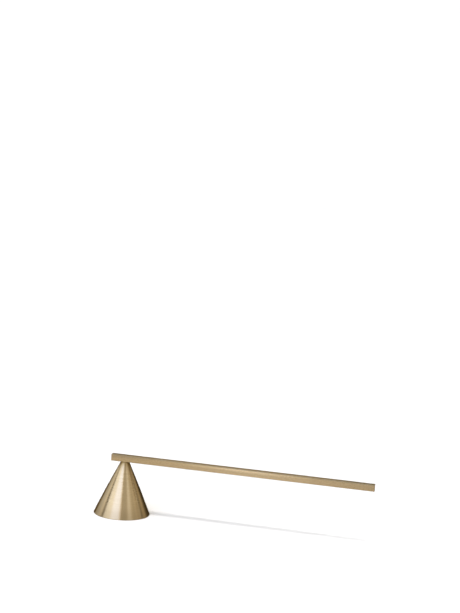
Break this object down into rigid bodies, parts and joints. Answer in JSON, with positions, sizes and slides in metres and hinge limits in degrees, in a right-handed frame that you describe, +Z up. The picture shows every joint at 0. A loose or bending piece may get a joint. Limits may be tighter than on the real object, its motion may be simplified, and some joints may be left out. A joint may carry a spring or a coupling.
{
  "type": "candle snuffer",
  "caption": "Candle snuffer with a conical bell under one end of a slim straight square handle, in brushed brass; stands on the bell's rim.",
  "frame": {"origin": "middle of the bell's mouth, in the plane that the rim stands on", "axes": "+Z up along the bell's axis, +X along the handle towards its grip end, +Y sideways"},
  "size_m": [0.2129, 0.0428, 0.0455],
  "materials": {
    "bell_brass": "turned satin, fine grooves round the cone",
    "handle_brass": "satin, brushed lengthwise",
    "plug_brass": "satin, faced",
    "block_brass": "as sawn and drawn",
    "fastener_steel": "bright, plain"
  },
  "bodies": {
    "root": {"bell": "bell_brass", "handle_tube": "handle_brass", "bell_end_plug": "plug_brass", "grip_end_plug": "plug_brass", "threaded_block": "block_brass", "bell_screw": "fastener_steel", "spring_washer": "fastener_steel"}
  },
  "joints": []
}
